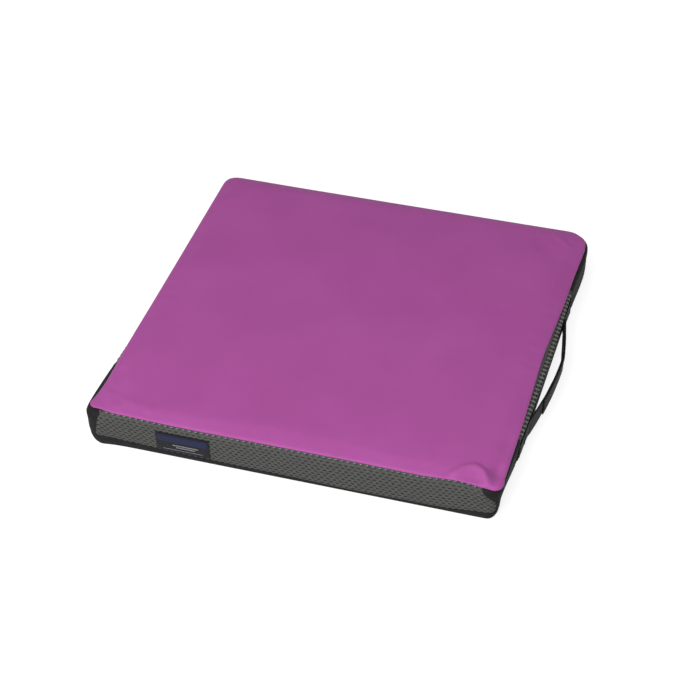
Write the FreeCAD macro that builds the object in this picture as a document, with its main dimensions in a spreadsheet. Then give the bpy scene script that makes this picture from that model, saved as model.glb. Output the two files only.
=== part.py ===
import FreeCAD, Part
import math
import os
import Sketcher

# A square foam seat cushion in a zipped cover. The origin is the centre of the underside; the front faces -Y,
# the carry handle is on the +X side and the zip runs along the rear (+Y) border. All lengths are millimetres.

SIZES = {
    # Whole cushion
    "cushion_width": 420,
    "cushion_depth": 420,
    "cushion_height": 46,
    "corner_radius": 18,
    # Cover: the base panel turns up into a band, the top panel comes down to the seam, borders lie between
    "band_height": 7.5,
    "seam_height": 40.5,
    "fabric_thickness": 1.5,
    "top_fabric_thickness": 1.2,
    "base_edge_radius": 2.5,
    "top_edge_run": 16,
    "top_edge_drop": 4.4,
    "mesh_thickness": 3,
    "corner_lap": 2,
    "side_mesh_front": -130,
    "side_mesh_rear": 112,
    # Label on the front mesh
    "label_left": -140,
    "label_width": 57,
    "label_bottom": 9.5,
    "label_height": 23.5,
    "label_thickness": 0.7,
    # Foam core
    "foam_side": 408,
    "foam_corner_radius": 14,
    "foam_bottom": 2,
    "foam_split": 25,
    "foam_top": 44.3,
    "foam_edge_run": 12,
    "foam_edge_drop": 4.2,
    # Zip in the rear border
    "zip_centre": 24,
    "zip_slot_height": 11,
    "zip_half_length": 166,
    "zip_panel_half": 175,
    "tape_width": 12,
    "tape_thickness": 0.8,
    "coil_width": 2,
    "coil_thickness": 2.2,
    "coil_gap": 1.6,
    "stop_length": 3,
    "stop_height": 6.4,
    "end_tab_length": 5.5,
    # Slider and its pull tab
    "slider_place": 159.5,
    "slider_length": 11,
    "slider_width": 8.6,
    "plate_thickness": 1.2,
    "plate_clearance": 0.4,
    "neck_length": 3,
    "neck_thickness": 1.1,
    "flange_thickness": 1,
    "flange_depth": 1.9,
    "bridge_half_length": 4.1,
    "bridge_foot": 1.3,
    "bridge_width": 2.4,
    "bridge_rise": 3,
    "bridge_thickness": 0.9,
    "slider_corner_cut": 0.8,
    "tab_length": 24,
    "tab_width": 6.8,
    "tab_thickness": 1.2,
    "tab_eye_length": 5.4,
    "tab_eye_width": 3.4,
    "tab_bar_radius": 0.7,
    "tab_hole_radius": 1.4,
    "tab_hole_place": 19.2,
    "tab_tip_radius": 2.4,
    # Carry handle of webbing on the right side
    "webbing_width": 20,
    "webbing_thickness": 2.2,
    "handle_height": 21.5,
    "handle_peak_y": -6,
    "handle_bow": 15.9,
    "handle_radius": 200,
    "handle_front_radius": 120,
    "handle_rear_radius": 40,
    "handle_sewn_length": 28,
    "loop_half_span": 54,
    "loop_gap": 0.3,
    "tack_width": 1.8,
    "tack_height": 17,
    "tack_thickness": 0.5,
    "tack_inset": 4,
}

doc = FreeCAD.newDocument("seat_cushion")
sheet = doc.addObject("Spreadsheet::Sheet", "Sizes")
for row, (alias, value) in enumerate(SIZES.items(), start=1):
    sheet.set(f"A{row}", alias)
    sheet.set(f"B{row}", str(value))
    sheet.setAlias(f"B{row}", alias)
doc.recompute()

pieces = []
NEAR = 1e-3


def size(expression):
    """The value of a size, or of arithmetic on sizes, as the sheet gives it."""
    return float(sheet.evalExpression(qualified(expression)))


def qualified(expression):
    """Write the sheet's name before each alias in an expression."""
    words = []
    word = ""
    for letter in expression + " ":
        if letter.isalnum() or letter == "_":
            word += letter
            continue
        words.append(f"Sizes.{word}" if word in SIZES else word)
        words.append(letter)
        word = ""
    return "".join(words).strip()


def bind(thing, prop, expression):
    thing.setExpression(prop, qualified(expression))


def new_body(label):
    body = doc.addObject("PartDesign::Body", label)
    body.Label = label
    pieces.append(body)
    return body


def origin_plane(body, role):
    for feature in body.Origin.OriginFeatures:
        if feature.Role == role:
            return feature
    raise RuntimeError(f"{body.Label} has no {role}")


def new_sketch(body, name, role, offset=None):
    """A sketch on one of the body's own origin planes, lifted off it by an expression."""
    sketch = body.newObject("Sketcher::SketchObject", f"{body.Name}_{name}")
    sketch.AttachmentSupport = (origin_plane(body, role), "")
    sketch.MapMode = "FlatFace"
    if offset:
        bind(sketch, "AttachmentOffset.Base.z", offset)
    return sketch


def place_point(sketch, geometry, point, across, up):
    """Hold a point of the sketch at two signed distances from the sketch's origin."""
    for kind, expression in (("DistanceX", across), ("DistanceY", up)):
        if size(expression) == 0:
            axis = -2 if kind == "DistanceX" else -1
            sketch.addConstraint(Sketcher.Constraint("PointOnObject", geometry, point, axis))
            continue
        index = sketch.addConstraint(
            Sketcher.Constraint(kind, -1, 1, geometry, point, size(expression))
        )
        bind(sketch, f"Constraints[{index}]", expression)


def rectangle(sketch, left, right, low, high):
    """A rectangle whose four sides are at signed distances from the sketch's origin."""
    x0, x1, y0, y1 = (size(side) for side in (left, right, low, high))
    corners = [(x0, y0), (x1, y0), (x1, y1), (x0, y1)]
    first = sketch.GeometryCount
    for k in range(4):
        start = FreeCAD.Vector(*corners[k], 0)
        end = FreeCAD.Vector(*corners[(k + 1) % 4], 0)
        sketch.addGeometry(Part.LineSegment(start, end))
    for k in range(4):
        nxt = first + (k + 1) % 4
        sketch.addConstraint(Sketcher.Constraint("Coincident", first + k, 2, nxt, 1))
        direction = "Horizontal" if k % 2 == 0 else "Vertical"
        sketch.addConstraint(Sketcher.Constraint(direction, first + k))
    place_point(sketch, first, 1, left, low)
    place_point(sketch, first + 2, 1, right, high)


def circle(sketch, across, radius):
    """A circle centred on the sketch's horizontal axis, at a signed distance from its origin."""
    centre = FreeCAD.Vector(size(across), 0, 0)
    index = sketch.addGeometry(Part.Circle(centre, FreeCAD.Vector(0, 0, 1), size(radius)))
    place_point(sketch, index, 3, across, "0")
    constraint = sketch.addConstraint(Sketcher.Constraint("Radius", index, size(radius)))
    bind(sketch, f"Constraints[{constraint}]", radius)


def new_pad(body, sketch, length, name="Pad"):
    pad = body.newObject("PartDesign::Pad", f"{body.Name}_{name}")
    pad.Profile = sketch
    bind(pad, "Length", length)
    doc.recompute()
    return pad


def new_pocket(body, sketch, name):
    """A cut right through the body; it must take some volume away."""
    before = body.Shape.Volume
    pocket = body.newObject("PartDesign::Pocket", f"{body.Name}_{name}")
    pocket.Profile = sketch
    pocket.Type = "ThroughAll"
    pocket.Midplane = True
    doc.recompute()
    if body.Shape.Volume > before - NEAR:
        raise RuntimeError(f"{body.Label}: {name} cuts nothing")
    return pocket


def edges_where(feature, test):
    return [f"Edge{n}" for n, e in enumerate(feature.Shape.Edges, start=1) if test(e)]


def faces_where(feature, test):
    return [f"Face{n}" for n, f in enumerate(feature.Shape.Faces, start=1) if test(f)]


def upright(edge):
    box = edge.BoundBox
    return box.ZLength > NEAR and box.XLength < NEAR and box.YLength < NEAR


def lies_at(height):
    """A test for edges or faces that lie level at a height."""

    def test(shape):
        box = shape.BoundBox
        return box.ZLength < NEAR and abs(box.ZMin - height) < NEAR

    return test


def dress(body, kind, feature, names, settings):
    """A fillet, chamfer or thickness on named edges or faces of the last feature."""
    if not names:
        raise RuntimeError(f"{body.Label}: nothing to {kind}")
    dressing = body.newObject(f"PartDesign::{kind}", f"{body.Name}_{kind}{len(body.Group)}")
    dressing.Base = (feature, names)
    for prop, value in settings.items():
        if isinstance(value, str) and prop in ("Radius", "Size", "Size2", "Value"):
            bind(dressing, prop, value)
        else:
            setattr(dressing, prop, value)
    doc.recompute()
    return dressing


def rounded_slab(body, side_x, side_y, low, high, radius):
    """A flat slab centred on the origin with rounded upright corners."""
    sketch = new_sketch(body, "outline", "XY_Plane", low)
    rectangle(sketch, f"-({side_x}) / 2", f"({side_x}) / 2", f"-({side_y}) / 2", f"({side_y}) / 2")
    slab = new_pad(body, sketch, f"({high}) - ({low})")
    return dress(body, "Fillet", slab, edges_where(slab, upright), {"Radius": radius})


def upright_panel(label, left, right, front, rear, low, high):
    """A flat panel or strip standing on edge, drawn in plan and padded upwards."""
    body = new_body(label)
    sketch = new_sketch(body, "plan", "XY_Plane", low)
    rectangle(sketch, left, right, front, rear)
    new_pad(body, sketch, f"({high}) - ({low})")
    return body


# ---- Cover: base panel and top panel -----------------------------------------------------------------------

# The base panel is a shallow tray of black fabric: a floor, and a turned-up band.
inward_wall = {"Reversed": True, "Mode": 0, "Join": 1}
base_panel = new_body("base_panel")
slab = rounded_slab(base_panel, "cushion_width", "cushion_depth", "0", "band_height", "corner_radius")
slab = dress(base_panel, "Fillet", slab, edges_where(slab, lies_at(0)), {"Radius": "base_edge_radius"})
open_face = faces_where(slab, lies_at(size("band_height")))
dress(base_panel, "Thickness", slab, open_face, {"Value": "fabric_thickness", **inward_wall})

# The top panel is a shallow lid of purple fabric whose edge slopes down to the seam.
top_panel = new_body("top_panel")
slab = rounded_slab(top_panel, "cushion_width", "cushion_depth", "seam_height", "cushion_height",
                    "corner_radius")
slope = {"ChamferType": 1, "Size": "top_edge_drop", "Size2": "top_edge_run"}
slab = dress(top_panel, "Chamfer", slab, edges_where(slab, lies_at(size("cushion_height"))), slope)
open_face = faces_where(slab, lies_at(size("seam_height")))
dress(top_panel, "Thickness", slab, open_face, {"Value": "top_fabric_thickness", **inward_wall})

# ---- Cover: border between the band and the seam -----------------------------------------------------------

half_x = "cushion_width / 2"
half_y = "cushion_depth / 2"
straight_x = f"({half_x} - corner_radius - corner_lap)"
straight_y = f"({half_y} - corner_radius - corner_lap)"

upright_panel("front_mesh_panel", f"-{straight_x}", straight_x, f"-{half_y}", f"-{half_y} + mesh_thickness",
              "band_height", "seam_height")
upright_panel("right_mesh_panel", f"{half_x} - mesh_thickness", half_x, "side_mesh_front", "side_mesh_rear",
              "band_height", "seam_height")
upright_panel("left_mesh_panel", f"-{half_x}", f"-{half_x} + mesh_thickness", "side_mesh_front",
              "side_mesh_rear", "band_height", "seam_height")


def corner_piece(label, turn, first_leg, second_leg):
    """A strip of black fabric round one corner, drawn about the corner's own centre.

    The first leg runs along the side before the corner and the second along the side after it,
    going anticlockwise in plan. An unturned piece is the rear right corner.
    """
    body = new_body(label)
    sketch = new_sketch(body, "plan", "XY_Plane", "band_height")
    outer = size("corner_radius")
    inner = outer - size("fabric_thickness")
    leg_a = size(first_leg)
    leg_b = size(second_leg)
    vector = FreeCAD.Vector
    up = vector(0, 0, 1)
    quarter = math.pi / 2
    outer_arc = Part.ArcOfCircle(Part.Circle(vector(0, 0, 0), up, outer), 0, quarter)
    inner_arc = Part.ArcOfCircle(Part.Circle(vector(0, 0, 0), up, inner), 0, quarter)
    lines = [
        (vector(outer, -leg_a, 0), vector(outer, 0, 0)),
        (vector(0, outer, 0), vector(-leg_b, outer, 0)),
        (vector(-leg_b, outer, 0), vector(-leg_b, inner, 0)),
        (vector(-leg_b, inner, 0), vector(0, inner, 0)),
        (vector(inner, 0, 0), vector(inner, -leg_a, 0)),
        (vector(inner, -leg_a, 0), vector(outer, -leg_a, 0)),
    ]
    for start, end in lines:
        sketch.addGeometry(Part.LineSegment(start, end))
    sketch.addGeometry(outer_arc)
    sketch.addGeometry(inner_arc)
    meet = Sketcher.Constraint
    for constraint in (
        meet("Coincident", 0, 2, 6, 1),
        meet("Coincident", 6, 2, 1, 1),
        meet("Coincident", 1, 2, 2, 1),
        meet("Coincident", 2, 2, 3, 1),
        meet("Coincident", 3, 2, 7, 2),
        meet("Coincident", 7, 1, 4, 1),
        meet("Coincident", 4, 2, 5, 1),
        meet("Coincident", 5, 2, 0, 1),
        meet("Coincident", 6, 3, -1, 1),
        meet("Coincident", 7, 3, -1, 1),
        meet("Vertical", 0),
        meet("Horizontal", 1),
        meet("Vertical", 2),
        meet("Horizontal", 3),
        meet("Vertical", 4),
        meet("Horizontal", 5),
        meet("PointOnObject", 0, 2, -1),
        meet("PointOnObject", 1, 1, -2),
        meet("PointOnObject", 3, 2, -2),
        meet("PointOnObject", 4, 1, -1),
    ):
        sketch.addConstraint(constraint)
    place_point(sketch, 0, 1, "corner_radius", f"-({first_leg})")
    place_point(sketch, 2, 2, f"-({second_leg})", "corner_radius - fabric_thickness")
    new_pad(body, sketch, "seam_height - band_height")
    angle = math.radians(turn)
    sign_x = 1 if math.cos(angle + quarter / 2) > 0 else -1
    sign_y = 1 if math.sin(angle + quarter / 2) > 0 else -1
    body.Placement.Rotation = FreeCAD.Rotation(up, turn)
    bind(body, "Placement.Base.x", f"{sign_x} * ({half_x} - corner_radius)")
    bind(body, "Placement.Base.y", f"{sign_y} * ({half_y} - corner_radius)")
    return body


front_leg = f"{half_y} - corner_radius + side_mesh_front"
rear_leg = f"{half_y} - corner_radius - side_mesh_rear"
zip_leg = f"{half_x} - corner_radius - zip_panel_half"
corner_piece("rear_right_corner", 0, rear_leg, zip_leg)
corner_piece("rear_left_corner", 90, zip_leg, rear_leg)
corner_piece("front_left_corner", 180, front_leg, "corner_lap")
corner_piece("front_right_corner", 270, "corner_lap", front_leg)

# The rear border is two strips with the zip's slot between them.
rear_inner = f"{half_y} - fabric_thickness"
upright_panel("rear_upper_border", "-zip_panel_half", "zip_panel_half", rear_inner, half_y,
              "zip_centre + zip_slot_height / 2", "seam_height")
upright_panel("rear_lower_border", "-zip_panel_half", "zip_panel_half", rear_inner, half_y,
              "band_height", "zip_centre - zip_slot_height / 2")

# ---- Label -------------------------------------------------------------------------------------------------

upright_panel("label", "label_left", "label_left + label_width", f"-{half_y} - label_thickness", f"-{half_y}",
              "label_bottom", "label_bottom + label_height")

# ---- Foam core ---------------------------------------------------------------------------------------------

foam_base = new_body("foam_base")
rounded_slab(foam_base, "foam_side", "foam_side", "foam_bottom", "foam_split", "foam_corner_radius")

foam_topper = new_body("foam_topper")
slab = rounded_slab(foam_topper, "foam_side", "foam_side", "foam_split", "foam_top", "foam_corner_radius")
slope = {"ChamferType": 1, "Size": "foam_edge_drop", "Size2": "foam_edge_run"}
dress(foam_topper, "Chamfer", slab, edges_where(slab, lies_at(size("foam_top"))), slope)

# ---- Zip: tapes, coils, stops and end tabs -----------------------------------------------------------------

# The tapes lie against the inside of the border; the coils stand on the tapes and face outwards. The two rows
# keep a gap for the slider's neck.
tape_front = f"{rear_inner} - tape_thickness"
coil_rear = f"{rear_inner} + coil_thickness"
row_inner = "coil_gap / 2"
row_outer = "coil_gap / 2 + coil_width"
for side, sign in (("upper", 1), ("lower", -1)):
    tape_reach = [f"zip_centre + {sign} * ({row_inner})", f"zip_centre + {sign} * ({row_inner} + tape_width)"]
    row_reach = [f"zip_centre + {sign} * ({row_inner})", f"zip_centre + {sign} * ({row_outer})"]
    if sign < 0:
        tape_reach.reverse()
        row_reach.reverse()
    upright_panel(f"zip_tape_{side}", "-zip_panel_half", "zip_panel_half", tape_front, rear_inner, *tape_reach)
    upright_panel(f"zip_coil_{side}", "-zip_half_length", "zip_half_length", rear_inner, coil_rear, *row_reach)


def pair_of_boxes(label, near, length, front, depth, low, height):
    """Two like blocks, one at each end of the zip, held in one compound."""
    blocks = []
    for side, corner in (("right", near), ("left", f"-({near}) - ({length})")):
        block = doc.addObject("Part::Box", f"{label}_{side}")
        bind(block, "Length", length)
        bind(block, "Width", depth)
        bind(block, "Height", height)
        bind(block, "Placement.Base.x", corner)
        bind(block, "Placement.Base.y", front)
        bind(block, "Placement.Base.z", low)
        blocks.append(block)
    group = doc.addObject("Part::Compound", label)
    group.Label = label
    group.Links = blocks
    pieces.append(group)
    return group


pair_of_boxes("zip_stops", "zip_half_length", "stop_length", rear_inner, "coil_thickness",
              "zip_centre - stop_height / 2", "stop_height")
pair_of_boxes("zip_end_tabs", "zip_panel_half - end_tab_length", "end_tab_length", rear_inner,
              "fabric_thickness", "zip_centre - zip_slot_height / 2", "zip_slot_height")

# ---- Zip slider --------------------------------------------------------------------------------------------

# Two plates lie outside and inside the chain, joined by a thin neck that runs in the gap between the rows.
# Flanges turn in from the outer plate past the rows, and a bridge on it holds the pull tab.
slider_left = "slider_place - slider_length / 2"
slider_right = "slider_place + slider_length / 2"
outer_low = f"{coil_rear} + plate_clearance"
outer_high = f"{outer_low} + plate_thickness"
inner_high = f"{tape_front} - plate_clearance"
inner_low = f"{inner_high} - plate_thickness"


def plan_block(body, name, left, right, front, rear, low, high):
    sketch = new_sketch(body, name, "XY_Plane", low)
    rectangle(sketch, left, right, front, rear)
    return new_pad(body, sketch, f"({high}) - ({low})", f"{name}_pad")


slider = new_body("zip_slider")
slider_low = "zip_centre - slider_width / 2"
slider_high = "zip_centre + slider_width / 2"
neck_left = "slider_place + slider_length / 2 - neck_length"
plan_block(slider, "neck", neck_left, slider_right, inner_low, outer_high,
           "zip_centre - neck_thickness / 2", "zip_centre + neck_thickness / 2")
plan_block(slider, "outer_plate", slider_left, slider_right, outer_low, outer_high, slider_low, slider_high)
plan_block(slider, "inner_plate", slider_left, slider_right, inner_low, inner_high, slider_low, slider_high)
flange_front = f"{outer_low} - flange_depth"
plan_block(slider, "upper_flange", slider_left, slider_right, flange_front, outer_high,
           f"{slider_high} - flange_thickness", slider_high)
plan_block(slider, "lower_flange", slider_left, slider_right, flange_front, outer_high,
           slider_low, f"{slider_low} + flange_thickness")
plan_block(slider, "bridge", "slider_place - bridge_half_length", "slider_place + bridge_half_length",
           outer_high, f"{outer_high} + bridge_rise",
           "zip_centre - bridge_width / 2", "zip_centre + bridge_width / 2")
eye = new_sketch(slider, "bridge_eye", "XY_Plane", "zip_centre")
rectangle(eye, "slider_place - bridge_half_length + bridge_foot",
          "slider_place + bridge_half_length - bridge_foot",
          outer_high, f"{outer_high} + bridge_rise - bridge_thickness")
last = new_pocket(slider, eye, "bridge_opening")


def slider_corner(edge):
    """The upright edges at the two ends of the outer plate, where a slider is rounded."""
    box = edge.BoundBox
    at_end = min(abs(box.XMin - size(slider_left)), abs(box.XMax - size(slider_right))) < NEAR
    through = box.YLength > NEAR and box.XLength < NEAR and box.ZLength < NEAR
    return at_end and through and box.YMax > size(outer_high) - NEAR


dress(slider, "Chamfer", last, edges_where(last, slider_corner), {"Size": "slider_corner_cut"})

# ---- Pull tab ----------------------------------------------------------------------------------------------

# A flat tab with an eye at one end; the eye's round bar lies under the slider's bridge. It is drawn about its
# own turning axis and lies flat along the zip, towards the open end.
tab = new_body("zip_pull_tab")
outline = new_sketch(tab, "outline", "XZ_Plane", "-tab_thickness / 2")
rectangle(outline, "-tab_length", "0", "-tab_width / 2", "tab_width / 2")
plate = new_pad(tab, outline, "tab_thickness")
tip = edges_where(plate, lambda e: e.BoundBox.YLength > NEAR and e.BoundBox.XMax < NEAR - size("tab_length"))
plate = dress(tab, "Fillet", plate, tip, {"Radius": "tab_tip_radius"})
opening = new_sketch(tab, "eye", "XZ_Plane")
rectangle(opening, "-tab_eye_length", "tab_eye_length", "-tab_eye_width / 2", "tab_eye_width / 2")
new_pocket(tab, opening, "eye_opening")
hole = new_sketch(tab, "hole", "XZ_Plane")
circle(hole, "-tab_hole_place", "tab_hole_radius")
new_pocket(tab, hole, "lanyard_hole")
bar = new_sketch(tab, "bar", "XY_Plane", "-tab_width / 2")
circle(bar, "0", "tab_bar_radius")
new_pad(tab, bar, "tab_width", "Bar")
bind(tab, "Placement.Base.x", "slider_place")
bind(tab, "Placement.Base.y", f"{outer_high} + (bridge_rise - bridge_thickness) / 2")
bind(tab, "Placement.Base.z", "zip_centre")

# ---- Carry handle ------------------------------------------------------------------------------------------

# One strap on edge. In plan its middle line is a long bow about a centre inside the cushion, met at each end
# by a smaller arc that turns it flat against the side, where it is sewn down.
strap_half = size("webbing_thickness") / 2
sewn_x = size("cushion_width") / 2 + strap_half
bow_centre = FreeCAD.Vector(sewn_x + size("handle_bow") - size("handle_radius"), size("handle_peak_y"), 0)


def end_arc(radius, direction):
    """The centre of the arc at one end of the bow, and the angle at which the bow meets it."""
    centre_x = sewn_x + radius
    reach = size("handle_radius") + radius
    rise = math.sqrt(reach**2 - (centre_x - bow_centre.x) ** 2)
    centre = FreeCAD.Vector(centre_x, bow_centre.y + direction * rise, 0)
    return centre, math.atan2(rise, centre_x - bow_centre.x)


front_centre, front_angle = end_arc(size("handle_front_radius"), -1)
rear_centre, rear_angle = end_arc(size("handle_rear_radius"), 1)
loop_reach = size("loop_half_span")
stub_reach = size("loop_half_span") + size("loop_gap")


def on_bow(angle, offset):
    """A point on the bow, offset outwards, at an angle from the bow's peak towards the rear."""
    reach = size("handle_radius") + offset
    return bow_centre + FreeCAD.Vector(reach * math.cos(angle), reach * math.sin(angle), 0)


def on_end(centre, radius, angle, direction, offset):
    """A point on an end arc; the strap's outer face is the arc's inner side."""
    reach = radius - offset
    return centre + FreeCAD.Vector(-reach * math.cos(angle), -direction * reach * math.sin(angle), 0)


def bow_angle(reach, offset):
    """The angle at which an offset of the bow is level with a distance along Y from the bow's peak."""
    return math.asin(reach / (size("handle_radius") + offset))


def bow_arc(start, end, offset):
    return Part.Arc(on_bow(start, offset), on_bow((start + end) / 2, offset), on_bow(end, offset))


def strap(label, outline):
    """Pad a closed run of lines and arcs in plan by the width of the webbing."""
    body = new_body(label)
    sketch = new_sketch(body, "plan", "XY_Plane", "handle_height - webbing_width / 2")
    for geometry in outline:
        index = sketch.addGeometry(geometry)
        sketch.addConstraint(Sketcher.Constraint("Block", index))
    new_pad(body, sketch, "webbing_width")
    return body


def loop_outline():
    """The loop, cut square to Y at both ends so that it can turn beside the sewn ends."""
    outer_angle = bow_angle(loop_reach, strap_half)
    inner_angle = bow_angle(loop_reach, -strap_half)
    outer = bow_arc(-outer_angle, outer_angle, strap_half)
    inner = bow_arc(inner_angle, -inner_angle, -strap_half)
    return [
        outer,
        Part.LineSegment(outer.EndPoint, inner.StartPoint),
        inner,
        Part.LineSegment(inner.EndPoint, outer.StartPoint),
    ]


def stub_outline(centre, radius, meet_angle, direction):
    """A sewn end: from the gap beside the loop, along the bow and the end arc, then flat on the side."""
    outline = []
    ends = []
    for offset in (strap_half, -strap_half):
        start_angle = direction * bow_angle(stub_reach, offset)
        bow = bow_arc(start_angle, direction * meet_angle, offset)
        turn = Part.Arc(
            on_end(centre, radius, meet_angle, direction, offset),
            on_end(centre, radius, meet_angle / 2, direction, offset),
            on_end(centre, radius, 0, direction, offset),
        )
        flat_start = on_end(centre, radius, 0, direction, offset)
        flat_end = flat_start + FreeCAD.Vector(0, direction * size("handle_sewn_length"), 0)
        outline += [bow, turn, Part.LineSegment(flat_start, flat_end)]
        ends.append((on_bow(start_angle, offset), flat_end))
    outline.append(Part.LineSegment(ends[0][0], ends[1][0]))
    outline.append(Part.LineSegment(ends[0][1], ends[1][1]))
    return outline


strap("handle_loop", loop_outline())
strap("handle_end_front", stub_outline(front_centre, size("handle_front_radius"), front_angle, -1))
strap("handle_end_rear", stub_outline(rear_centre, size("handle_rear_radius"), rear_angle, 1))

# Four tacks of thread, two across each sewn end.
tacks = []
for end, centre, direction in (("front", front_centre, -1), ("rear", rear_centre, 1)):
    for position, along in (("inner", "tack_inset"), ("outer", "handle_sewn_length - tack_inset")):
        tack = doc.addObject("Part::Box", f"tack_{end}_{position}")
        bind(tack, "Length", "tack_thickness")
        bind(tack, "Width", "tack_width")
        bind(tack, "Height", "tack_height")
        bind(tack, "Placement.Base.x", f"{half_x} + webbing_thickness")
        bind(tack, "Placement.Base.z", "handle_height - tack_height / 2")
        tack.Placement.Base.y = centre.y + direction * size(along) - size("tack_width") / 2
        tacks.append(tack)
handle_tacks = doc.addObject("Part::Compound", "handle_tacks")
handle_tacks.Label = "handle_tacks"
handle_tacks.Links = tacks
pieces.append(handle_tacks)

# ---- Check and write ---------------------------------------------------------------------------------------

doc.recompute()
for thing in doc.Objects:
    if "Invalid" in thing.State or "Error" in thing.State:
        raise RuntimeError(f"{thing.Label} failed: {thing.State}")
for piece in pieces:
    if piece.Shape.isNull() or not piece.Shape.isValid() or not piece.Shape.Solids:
        raise RuntimeError(f"{piece.Label} has no sound shape")

os.makedirs("parts", exist_ok=True)
for piece in pieces:
    piece.Shape.exportStep(f"parts/{piece.Label}.step")
    print(f"{piece.Label:20s} solids {len(piece.Shape.Solids)}  volume {piece.Shape.Volume:11.1f} mm3")
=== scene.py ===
import math
from types import SimpleNamespace
import bpy
import numpy as np
from mathutils import Matrix, Vector


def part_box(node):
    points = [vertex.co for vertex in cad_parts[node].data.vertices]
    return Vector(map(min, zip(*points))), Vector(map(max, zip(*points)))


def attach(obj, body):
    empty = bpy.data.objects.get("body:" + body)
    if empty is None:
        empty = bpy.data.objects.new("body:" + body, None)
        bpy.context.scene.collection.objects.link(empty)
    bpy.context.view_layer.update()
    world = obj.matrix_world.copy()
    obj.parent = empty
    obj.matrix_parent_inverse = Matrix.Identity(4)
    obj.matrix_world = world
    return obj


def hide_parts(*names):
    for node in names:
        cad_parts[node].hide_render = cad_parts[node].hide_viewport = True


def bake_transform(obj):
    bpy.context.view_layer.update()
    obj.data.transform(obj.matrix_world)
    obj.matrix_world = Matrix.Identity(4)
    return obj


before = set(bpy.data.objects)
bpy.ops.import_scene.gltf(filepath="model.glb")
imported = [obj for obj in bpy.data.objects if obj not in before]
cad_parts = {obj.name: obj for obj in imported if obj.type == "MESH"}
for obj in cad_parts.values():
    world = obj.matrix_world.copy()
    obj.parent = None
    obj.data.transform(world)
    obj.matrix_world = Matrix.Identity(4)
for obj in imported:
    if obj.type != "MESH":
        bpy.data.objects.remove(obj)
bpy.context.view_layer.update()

# ---- Camera --------------------------------------------------------------------------------------
# A long lens at standing height, in front of the cushion and a little to its right.
camera_place = Vector((0.479, -1.519, 1.346))
camera_turn = math.radians(17.58)
camera_dip = math.radians(40.24)
camera_roll = math.radians(-1.21)
bpy.ops.object.camera_add()
camera = bpy.context.object
camera.data.lens = 100.6
camera.data.sensor_width = 36.0
camera.matrix_world = (
    Matrix.Translation(camera_place)
    @ Matrix.Rotation(camera_turn, 4, "Z")
    @ Matrix.Rotation(math.pi / 2 - camera_dip, 4, "X")
    @ Matrix.Rotation(camera_roll, 4, "Z")
)
bpy.context.scene.camera = camera
bpy.context.scene.view_settings.view_transform = "Standard"

# ---- Top panel -----------------------------------------------------------------------------------
# Purple stretch fabric, one square cut, pulled over the foam and sewn to the borders along its four edges.
# The cover's outline and its two seam lines are set out here, because every sewn piece follows them.
MM = 0.001
half_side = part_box("top_panel")[1].x
cover_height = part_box("top_panel")[1].z
corner_radii = (12 * MM, 14 * MM, 14 * MM, 12 * MM)


def outline_table():
    """The cover's outline from the front's middle, anticlockwise: distance, place and outward direction."""
    rows = []
    place = np.array([0.0, -half_side])
    heading = 0.0
    distance = 0.0
    last = 0.0
    corner_steps = 12
    for number, radius in enumerate((*corner_radii, 0.0)):
        if number == 0:
            run = half_side - radius
        elif number == 4:
            run = half_side - last
        else:
            run = 2 * half_side - last - radius
        ahead = np.array([math.cos(heading), math.sin(heading)])
        outward = np.array([ahead[1], -ahead[0]])
        rows.append((distance, *place, *outward))
        place = place + ahead * run
        distance += run
        rows.append((distance, *place, *outward))
        last = radius
        if number == 4:
            break
        centre = place - outward * radius
        for step in range(1, corner_steps + 1):
            turned = step * math.pi / 2 / corner_steps
            angle = heading - math.pi / 2 + turned
            direction = np.array([math.cos(angle), math.sin(angle)])
            rows.append((distance + radius * turned, *(centre + direction * radius), *direction))
        distance += radius * math.pi / 2
        place = centre + direction * radius
        heading += math.pi / 2
    return np.array(rows)


OUTLINE = outline_table()
ROUND = OUTLINE[-1, 0]


def outline(along):
    """Places and outward directions at distances along the outline."""
    along = np.mod(along, ROUND)
    columns = [np.interp(along, OUTLINE[:, 0], OUTLINE[:, k]) for k in range(1, 5)]
    return np.stack(columns[:2], -1), np.stack(columns[2:], -1)


front_right_start = half_side - corner_radii[0]
right_start = front_right_start + corner_radii[0] * math.pi / 2
rear_right_start = right_start + 2 * half_side - corner_radii[0] - corner_radii[1]
rear_start = rear_right_start + corner_radii[1] * math.pi / 2
rear_left_start = rear_start + 2 * half_side - corner_radii[1] - corner_radii[2]
left_start = rear_left_start + corner_radii[2] * math.pi / 2
front_left_start = left_start + 2 * half_side - corner_radii[2] - corner_radii[3]


def at_right(y):
    """The distance round the outline of a place on the right side."""
    return right_start + y + half_side - corner_radii[0]


def at_rear(x):
    return rear_start + half_side - corner_radii[1] - x


def at_left(y):
    return left_start + half_side - corner_radii[2] - y


def eased(along, stations):
    """Ease between heights given at distances round the outline."""
    places = np.array([s[0] for s in stations])
    heights = np.array([s[1] for s in stations])
    places = np.concatenate([places - ROUND, places, places + ROUND])
    heights = np.tile(heights, 3)
    along = np.mod(along, ROUND)
    after = np.clip(np.searchsorted(places, along), 1, len(places) - 1)
    before = after - 1
    share = (along - places[before]) / (places[after] - places[before])
    share = share * share * (3 - 2 * share)
    return heights[before] * (1 - share) + heights[after] * share


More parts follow.
